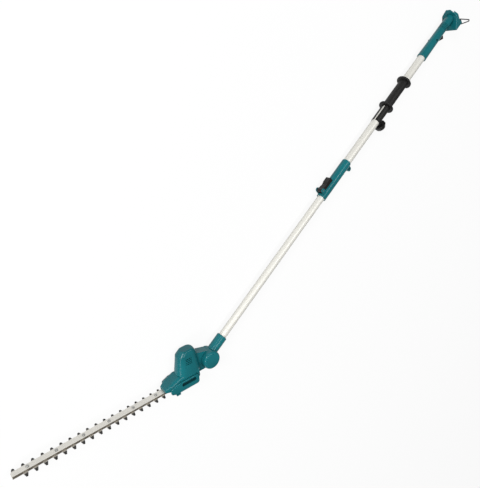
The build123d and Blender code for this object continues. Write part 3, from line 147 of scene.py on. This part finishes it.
# Parts of a pattern's range that are stretched to the full range
NOISE_SPAN = (0.3, 0.7)
CLOUD_SPAN = (0.35, 0.65)
SCUFF_SPAN = (0.45, 0.70)
DUST_SPAN = (0.55, 0.75)
EDGE_SPAN = (0.99, 0.85)
# Ambient occlusion range that becomes painted shade
CREVICE_SPAN = (0.75, 0.30)
SIDE_ON_SPAN = (0.45, 0.75)
EDGE_SAMPLES = 6
CREVICE_SAMPLES = 8

# Plastic: pattern scales in features to the metre, shares, and reaches in metres
PLASTIC_SPECULAR = 0.25
PLASTIC_CLOUDS = 14.0
PLASTIC_SCUFFS = 260.0
PLASTIC_PATCHES = 40.0
PLASTIC_GRAIN = 1400.0
PLASTIC_GRAIN_DETAIL = 2.0
PLASTIC_GRAIN_STRENGTH = 0.015
PLASTIC_GRAIN_DEPTH = 0.0002
PLASTIC_ROUGH_BELOW = 0.03
PLASTIC_ROUGH_ABOVE = 0.04
EDGE_RADIUS = 0.0008
WEAR_SHARE = 0.15
SEAM_SHARE = 0.7
# Painted shade in crevices: how far it reaches and how strong it is
CREVICE_REACH = 0.014
CREVICE_SHARE = 0.8
TEAL_ROUGH = 0.20
BLACK_ROUGH = 0.42

# Rubber
RUBBER_SPECULAR = 0.3
RUBBER_CLOUDS = 20.0
RUBBER_DUST = 420.0
RUBBER_DUST_SHARE = 0.6
RUBBER_PATCHES = 90.0
RUBBER_ROUGH = (0.46, 0.60)
PEBBLES = 620.0
PEBBLE_STRENGTH = 0.25
PEBBLE_DEPTH = 0.0004

# Drawn tube and blade plate: their lines are drawn out along the pole, or across the bar
TUBE_METALLIC = 0.20
TUBE_SPECULAR = 0.4
TUBE_LINES = 900.0
TUBE_STRETCH = (0.02, 1.0, 1.0)
TUBE_CLOUDS = 9.0
TUBE_CLOUD_SHARE = (0.5, 1.0)
TUBE_ROUGH = (0.43, 0.47)
TUBE_BUMP_STRENGTH = 0.05
TUBE_BUMP_DEPTH = 0.0002
LINE_DETAIL = 3.0
BLADE_METALLIC = 0.75
BLADE_SPECULAR = 0.5
BLADE_LINES = 700.0
BLADE_STRETCH = (1.0, 1.0, 0.04)
BLADE_CLOUDS = 25.0
BLADE_CLOUD_SHARE = (0.4, 1.0)
BLADE_ROUGH = (0.34, 0.46)
BLADE_BUMP_STRENGTH = 0.08
BLADE_BUMP_DEPTH = 0.0001

# Steel and circuit board
STEEL_PATCHES = 180.0
STEEL_ROUGH_PATCHES = 90.0
STEEL_ROUGH_BELOW = 0.06
STEEL_ROUGH_ABOVE = 0.08
STEEL_BUMPS = 500.0
STEEL_BUMP_STRENGTH = 0.06
STEEL_BUMP_DEPTH = 0.0001
MACHINED_ROUGH = 0.35
ZINC_ROUGH = 0.48
BOARD_SPECULAR = 0.5
BOARD_TRACKS = 120.0
BOARD_PATCHES = 150.0
BOARD_ROUGH = (0.30, 0.42)
BOARD_BUMP_STRENGTH = 0.2
BOARD_BUMP_DEPTH = 0.0001


class Finish:
    """One Principled material, with its patterns placed in the part's own frame."""

    def __init__(self, name, metallic=0.0, specular=0.5):
        self.material = bpy.data.materials.new(name)
        self.material.use_nodes = True
        self.tree = self.material.node_tree
        self.shader = self.tree.nodes["Principled BSDF"]
        self.shader.inputs["Metallic"].default_value = metallic
        self.shader.inputs["Specular IOR Level"].default_value = specular
        self.place = self.add("ShaderNodeTexCoord").outputs["Object"]

    def add(self, kind, **settings):
        node = self.tree.nodes.new(kind)
        for name, value in settings.items():
            setattr(node, name, value)
        return node

    def link(self, source, target):
        self.tree.links.new(source, target)

    def noise(self, scale, detail=3.0, stretch=(1.0, 1.0, 1.0)):
        """Noise with a number of features to the metre, drawn out along an axis by a small stretch."""
        squeeze = self.add("ShaderNodeVectorMath", operation="MULTIPLY")
        squeeze.inputs[1].default_value = stretch
        self.link(self.place, squeeze.inputs[0])
        noise = self.add("ShaderNodeTexNoise")
        noise.inputs["Scale"].default_value = scale
        noise.inputs["Detail"].default_value = detail
        self.link(squeeze.outputs[0], noise.inputs["Vector"])
        return noise.outputs["Fac"]

    def spread(self, value, span, to=(0.0, 1.0)):
        """A value inside a span, mapped to another and held inside it."""
        spread = self.add("ShaderNodeMapRange")
        limits = (*span, *to)
        for name, limit in zip(("From Min", "From Max", "To Min", "To Max"), limits):
            spread.inputs[name].default_value = limit
        self.link(value, spread.inputs["Value"])
        return spread.outputs["Result"]

    def math(self, operation, first, second):
        node = self.add("ShaderNodeMath", operation=operation)
        for socket, value in zip(node.inputs, (first, second)):
            if isinstance(value, float):
                socket.default_value = value
            else:
                self.link(value, socket)
        return node.outputs[0]

    def mix(self, share, first, second):
        """Colour between two others, each a tuple or another node's colour."""
        node = self.add("ShaderNodeMix", data_type="RGBA")
        self.link(share, node.inputs[0])
        for socket, colour in zip((node.inputs[6], node.inputs[7]), (first, second)):
            if isinstance(colour, tuple):
                socket.default_value = (*colour, 1.0)
            else:
                self.link(colour, socket)
        return node.outputs[2]

    def edges(self, radius):
        """Nearly 1 along sharp edges, and 0 on open faces."""
        bevel = self.add("ShaderNodeBevel", samples=EDGE_SAMPLES)
        bevel.inputs["Radius"].default_value = radius
        flat = self.add("ShaderNodeNewGeometry")
        turn = self.add("ShaderNodeVectorMath", operation="DOT_PRODUCT")
        self.link(bevel.outputs["Normal"], turn.inputs[0])
        self.link(flat.outputs["Normal"], turn.inputs[1])
        return self.spread(turn.outputs["Value"], EDGE_SPAN)

    def crevices(self, reach):
        """Painted shade mask from ambient occlusion: nearly 1 in slots and inner corners, and 0 on open faces."""
        shade = self.add("ShaderNodeAmbientOcclusion", samples=CREVICE_SAMPLES)
        shade.inputs["Distance"].default_value = reach
        return self.spread(shade.outputs["AO"], CREVICE_SPAN)

    def off_middle(self):
        """Distance from the tool's middle plane, in metres."""
        axes = self.add("ShaderNodeSeparateXYZ")
        self.link(self.place, axes.inputs[0])
        return self.math("ABSOLUTE", self.math("SUBTRACT", axes.outputs["Z"], MIDDLE_Z), 0.0)

    def side_on(self):
        """1 on faces that look out to either side of the tool."""
        axes = self.add("ShaderNodeSeparateXYZ")
        normal = self.add("ShaderNodeTexCoord")
        self.link(normal.outputs["Normal"], axes.inputs[0])
        return self.spread(self.math("ABSOLUTE", axes.outputs["Z"], 0.0), SIDE_ON_SPAN)

    def colour(self, value):
        self.link(value, self.shader.inputs["Base Color"])

    def roughness(self, value):
        self.link(value, self.shader.inputs["Roughness"])

    def bump(self, height, strength, distance):
        bump = self.add("ShaderNodeBump")
        bump.inputs["Strength"].default_value = strength
        bump.inputs["Distance"].default_value = distance
        self.link(height, bump.inputs["Height"])
        self.link(bump.outputs["Normal"], self.shader.inputs["Normal"])


def moulded_plastic(name, pale, dark, worn, painted_shade, rough, seam=False, slots=False):
    """Grained moulding, scuffed on edges, with painted shade in crevices.

    Some have a parting line, or painted shade on the floors of their side slots.
    """
    finish = Finish(name, specular=PLASTIC_SPECULAR)
    cloud = finish.spread(finish.noise(PLASTIC_CLOUDS), CLOUD_SPAN)
    colour = finish.mix(cloud, dark, pale)
    scuffs = finish.spread(finish.noise(PLASTIC_SCUFFS), SCUFF_SPAN)
    wear = finish.math("MULTIPLY", finish.edges(EDGE_RADIUS), scuffs)
    colour = finish.mix(finish.math("MULTIPLY", wear, WEAR_SHARE), colour, worn)
    if seam:
        line = finish.spread(finish.off_middle(), SEAM_SPAN)
        colour = finish.mix(finish.math("MULTIPLY", line, SEAM_SHARE), colour, dark)
    # Painted shade on the floors of the skirts' side slots
    if slots:
        sunk = finish.spread(finish.off_middle(), SLOT_SPAN)
        colour = finish.mix(finish.math("MULTIPLY", sunk, finish.side_on()), colour, painted_shade)
    # Painted shade, darkest in crevices and inner corners
    hollow_shade = finish.math("MULTIPLY", finish.crevices(CREVICE_REACH), CREVICE_SHARE)
    finish.colour(finish.mix(hollow_shade, colour, painted_shade))
    rough_span = (rough - PLASTIC_ROUGH_BELOW, rough + PLASTIC_ROUGH_ABOVE)
    finish.roughness(finish.spread(finish.noise(PLASTIC_PATCHES), NOISE_SPAN, rough_span))
    grain = finish.noise(PLASTIC_GRAIN, PLASTIC_GRAIN_DETAIL)
    finish.bump(grain, PLASTIC_GRAIN_STRENGTH, PLASTIC_GRAIN_DEPTH)
    return finish.material


def grip_rubber():
    finish = Finish("grip_rubber", specular=RUBBER_SPECULAR)
    cloud = finish.spread(finish.noise(RUBBER_CLOUDS), CLOUD_SPAN)
    dust = finish.spread(finish.noise(RUBBER_DUST), DUST_SPAN)
    dust = finish.math("MULTIPLY", dust, RUBBER_DUST_SHARE)
    finish.colour(finish.mix(dust, finish.mix(cloud, RUBBER, BLACK), RUBBER_PALE))
    finish.roughness(finish.spread(finish.noise(RUBBER_PATCHES), NOISE_SPAN, RUBBER_ROUGH))
    pebbles = finish.add("ShaderNodeTexVoronoi")
    pebbles.inputs["Scale"].default_value = PEBBLES
    finish.link(finish.place, pebbles.inputs["Vector"])
    finish.bump(pebbles.outputs["Distance"], PEBBLE_STRENGTH, PEBBLE_DEPTH)
    return finish.material


def drawn_tube():
    """Satin alloy with fine draw lines along the pole."""
    finish = Finish("tube_alloy", metallic=TUBE_METALLIC, specular=TUBE_SPECULAR)
    lines = finish.noise(TUBE_LINES, LINE_DETAIL, TUBE_STRETCH)
    cloud = finish.noise(TUBE_CLOUDS)
    patches = finish.spread(cloud, NOISE_SPAN, TUBE_CLOUD_SHARE)
    share = finish.math("MULTIPLY", finish.spread(lines, NOISE_SPAN), patches)
    finish.colour(finish.mix(share, TUBE_DULL, TUBE))
    finish.roughness(finish.spread(lines, NOISE_SPAN, TUBE_ROUGH))
    finish.bump(cloud, TUBE_BUMP_STRENGTH, TUBE_BUMP_DEPTH)
    return finish.material


def blade_plate(name, tips=False):
    """Nickelled plate with painted shade on its edge faces; toothed pieces darken towards their tips."""
    finish = Finish(name, metallic=BLADE_METALLIC, specular=BLADE_SPECULAR)
    lines = finish.noise(BLADE_LINES, LINE_DETAIL, BLADE_STRETCH)
    patches = finish.spread(finish.noise(BLADE_CLOUDS), NOISE_SPAN, BLADE_CLOUD_SHARE)
    share = finish.math("MULTIPLY", finish.spread(lines, NOISE_SPAN), patches)
    colour = finish.mix(share, NICKEL_DULL, NICKEL)
    # Painted shade on the plate's edge faces, which look out to either side of the tool
    colour = finish.mix(finish.side_on(), colour, EDGE_FACE_SHADE)
    if tips:
        colour = finish.mix(finish.spread(finish.off_middle(), TOOTH_TIP_SPAN), colour, TOOTH_TIP)
    finish.colour(colour)
    finish.roughness(finish.spread(lines, NOISE_SPAN, BLADE_ROUGH))
    finish.bump(lines, BLADE_BUMP_STRENGTH, BLADE_BUMP_DEPTH)
    return finish.material


def steel(name, pale, dull, rough):
    finish = Finish(name, metallic=1.0)
    share = finish.spread(finish.noise(STEEL_PATCHES), NOISE_SPAN)
    finish.colour(finish.mix(share, dull, pale))
    rough_span = (rough - STEEL_ROUGH_BELOW, rough + STEEL_ROUGH_ABOVE)
    finish.roughness(finish.spread(finish.noise(STEEL_ROUGH_PATCHES), NOISE_SPAN, rough_span))
    finish.bump(finish.noise(STEEL_BUMPS), STEEL_BUMP_STRENGTH, STEEL_BUMP_DEPTH)
    return finish.material


def circuit_board():
    finish = Finish("circuit_board", specular=BOARD_SPECULAR)
    tracks = finish.add("ShaderNodeTexBrick")
    tracks.inputs["Scale"].default_value = BOARD_TRACKS
    finish.link(finish.place, tracks.inputs["Vector"])
    finish.colour(finish.mix(tracks.outputs["Fac"], BOARD_GREEN, BOARD_DARK))
    finish.roughness(finish.spread(finish.noise(BOARD_PATCHES), NOISE_SPAN, BOARD_ROUGH))
    finish.bump(tracks.outputs["Fac"], BOARD_BUMP_STRENGTH, BOARD_BUMP_DEPTH)
    return finish.material


TEAL_COLOURS = (TEAL, TEAL_DARK, TEAL_WORN, TEAL_PAINTED_SHADE)
BLACK_COLOURS = (BLACK_PALE, BLACK, BLACK_WORN, BLACK_PAINTED_SHADE)
teal_shell = moulded_plastic("teal_shell", *TEAL_COLOURS, TEAL_ROUGH, seam=True)
teal = moulded_plastic("teal_moulding", *TEAL_COLOURS, TEAL_ROUGH)
teal_skirt = moulded_plastic("teal_skirt", *TEAL_COLOURS, TEAL_ROUGH, slots=True)
black = moulded_plastic("black_moulding", *BLACK_COLOURS, BLACK_ROUGH)
rubber = grip_rubber()
tube = drawn_tube()
bar = blade_plate("guide_bar")
teeth = blade_plate("toothed_blade", tips=True)
machined = steel("machined_steel", STEEL, STEEL_DULL, MACHINED_ROUGH)
zinc = steel("zinc_steel", ZINC, ZINC_DULL, ZINC_ROUGH)
board = circuit_board()

# A node takes its look from its material slot, unless it has its own
LOOKS = {
    "teal_plastic": teal,
    "black_plastic": black,
    "tube_alloy": tube,
    "blade_steel": teeth,
    "bar_steel": bar,
    "grip_rubber": rubber,
    "zinc_steel": zinc,
    "spring_steel": machined,
    "ring_steel": black,
    "motor_can": machined,
    "gear_steel": machined,
    "plate_alloy": tube,
    "lead_rubber": rubber,
    "board": board,
    "terminal_plastic": black,
}
OWN_LOOKS = {
    "head_shell_left": teal_shell,
    "head_shell_right": teal_shell,
    "handle_shell_left": teal_shell,
    "handle_shell_right": teal_shell,
    "under_cover": teal_skirt,
}
SLOT_OF = {part["node"]: part["material_slot"] for part in frame["record"]["subparts"]}
BODY_OF = {
    node: body
    for body, members in frame["record"]["behaviour"]["bodies"].items()
    for node in members
}

for node, slot in SLOT_OF.items():
    materials = nodes[node].data.materials
    materials.clear()
    materials.append(OWN_LOOKS.get(node, LOOKS[slot]))


def coil_mesh(name, low, high, axis, radius, wire, turns):
    """Closed wire wound round an axis through the middle of a box, from one end to the other."""
    middle = (low + high) / 2
    side = (axis + 1) % 3
    up = (axis + 2) % 3
    rings = turns * COIL_STEPS
    travel = (high[axis] - low[axis] - 2 * wire) / rings
    points = []
    for ring in range(rings + 1):
        turn = math.tau * ring / COIL_STEPS
        for corner in range(WIRE_SIDES):
            lean = math.tau * corner / WIRE_SIDES
            out = radius + wire * math.cos(lean)
            point = Vector((0.0, 0.0, 0.0))
            point[axis] = low[axis] + wire + travel * ring + wire * math.sin(lean)
            point[side] = middle[side] + out * math.cos(turn)
            point[up] = middle[up] + out * math.sin(turn)
            points.append(point)
    last_ring = range(rings * WIRE_SIDES, len(points))
    faces = [tuple(range(WIRE_SIDES)), tuple(reversed(last_ring))]
    for ring in range(rings):
        for corner in range(WIRE_SIDES):
            first = ring * WIRE_SIDES + corner
            second = ring * WIRE_SIDES + (corner + 1) % WIRE_SIDES
            faces.append((first, first + WIRE_SIDES, second + WIRE_SIDES, second))
    mesh = bpy.data.meshes.new(name)
    mesh.from_pydata(points, [], faces)
    mesh.shade_smooth()
    return mesh


def add_coil(node):
    """Wound piece for a CAD stand-in, hung on the stand-in's body in its place."""
    sizes = COILS[node]
    axis = sizes["axis"]
    wire = sizes["wire"]
    low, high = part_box(node)
    side = (axis + 1) % 3
    radius = sizes.get("radius", (high[side] - low[side]) / 2 - wire)
    name = node + "_coil"
    mesh = coil_mesh(name, low, high, axis, radius, wire, sizes["turns"])
    coil = bpy.data.objects.new(name, mesh)
    bpy.context.scene.collection.objects.link(coil)
    coil.data.materials.append(nodes[node].data.materials[0])
    direction = Vector((0.0, 0.0, 0.0))
    direction[axis] = 1.0
    anchor = (low + high) / 2
    anchor[axis] = high[axis]
    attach(coil, BODY_OF[node])
    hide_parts(node)
    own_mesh(coil)


def add_floor():
    """White to the camera and in reflections, with the part's shadow on it."""
    bpy.ops.mesh.primitive_plane_add(size=FLOOR_SIZE, location=(0.0, 0.0, 0.0))
    floor = bpy.context.object
    floor.name = "floor"
    finish = Finish("floor_white", specular=FLOOR_SPECULAR)
    finish.shader.inputs["Roughness"].default_value = FLOOR_ROUGH
    glow = finish.add("ShaderNodeEmission")
    rays = finish.add("ShaderNodeLightPath")
    finish.colour(finish.mix(rays.outputs["Is Diffuse Ray"], FLOOR_SEEN, FLOOR_BOUNCE))
    seen = finish.math("MAXIMUM", rays.outputs["Is Camera Ray"], rays.outputs["Is Glossy Ray"])
    seen = finish.math("MAXIMUM", seen, rays.outputs["Is Transmission Ray"])
    blend = finish.add("ShaderNodeMixShader")
    finish.link(finish.math("MULTIPLY", seen, FLOOR_GLOW_SHARE), blend.inputs["Fac"])
    finish.link(finish.shader.outputs[0], blend.inputs[1])
    finish.link(glow.outputs[0], blend.inputs[2])
    finish.link(blend.outputs[0], finish.tree.nodes["Material Output"].inputs["Surface"])
    floor.data.materials.append(finish.material)


def add_lamp(name, place, aim, width, depth, power):
    data = bpy.data.lights.new(name, "AREA")
    data.shape = "RECTANGLE"
    data.size = width
    data.size_y = depth
    data.energy = power
    lamp = bpy.data.objects.new(name, data)
    lamp.location = place
    lamp.rotation_euler = aim.to_track_quat("-Z", "Y").to_euler()
    bpy.context.scene.collection.objects.link(lamp)


def add_square_lamp(name, middle, offset, size, power):
    """Square softbox that faces the part's middle."""
    add_lamp(name, middle + offset, -offset, size, size, power)


def add_world():
    world = bpy.data.worlds.new("studio")
    world.use_nodes = True
    background = world.node_tree.nodes["Background"]
    background.inputs["Color"].default_value = (1.0, 1.0, 1.0, 1.0)
    background.inputs["Strength"].default_value = WORLD_STRENGTH
    bpy.context.scene.world = world


def add_camera():
    data = bpy.data.cameras.new("camera")
    data.sensor_fit = "VERTICAL"
    data.sensor_height = SENSOR_MM
    data.lens = FOCAL_PX * SENSOR_MM / FRAME_HEIGHT_PX
    camera = bpy.data.objects.new("camera", data)
    back = CAMERA_RIGHT.cross(CAMERA_UP).normalized()
    right = CAMERA_UP.cross(back).normalized()
    turn = Matrix((right, back.cross(right), back)).transposed()
    tilt = Vector(joints["head_tilt"]["pos_m"])
    camera.matrix_world = Matrix.Translation(tilt + CAMERA_FROM_TILT) @ turn.to_4x4()
    bpy.context.scene.collection.objects.link(camera)
    bpy.context.scene.camera = camera


for joint in frame["record"]["behaviour"]["joints"]:
    for soft in joint.get("deforming_nodes", []):
        add_coil(soft["node"])

part_middle = (Vector(cad_box[0]) + Vector(cad_box[1])) / 2
add_floor()
add_lamp("strip", part_middle + STRIP_PLACE, STRIP_AIM, STRIP_LENGTH, STRIP_DEPTH, STRIP_POWER)
add_square_lamp("key", part_middle, KEY_PLACE, KEY_SIZE, KEY_POWER)
add_square_lamp("blade_end", part_middle, BLADE_END_PLACE, BLADE_END_SIZE, BLADE_END_POWER)
add_world()
add_camera()

bpy.context.scene.view_settings.view_transform = "Standard"
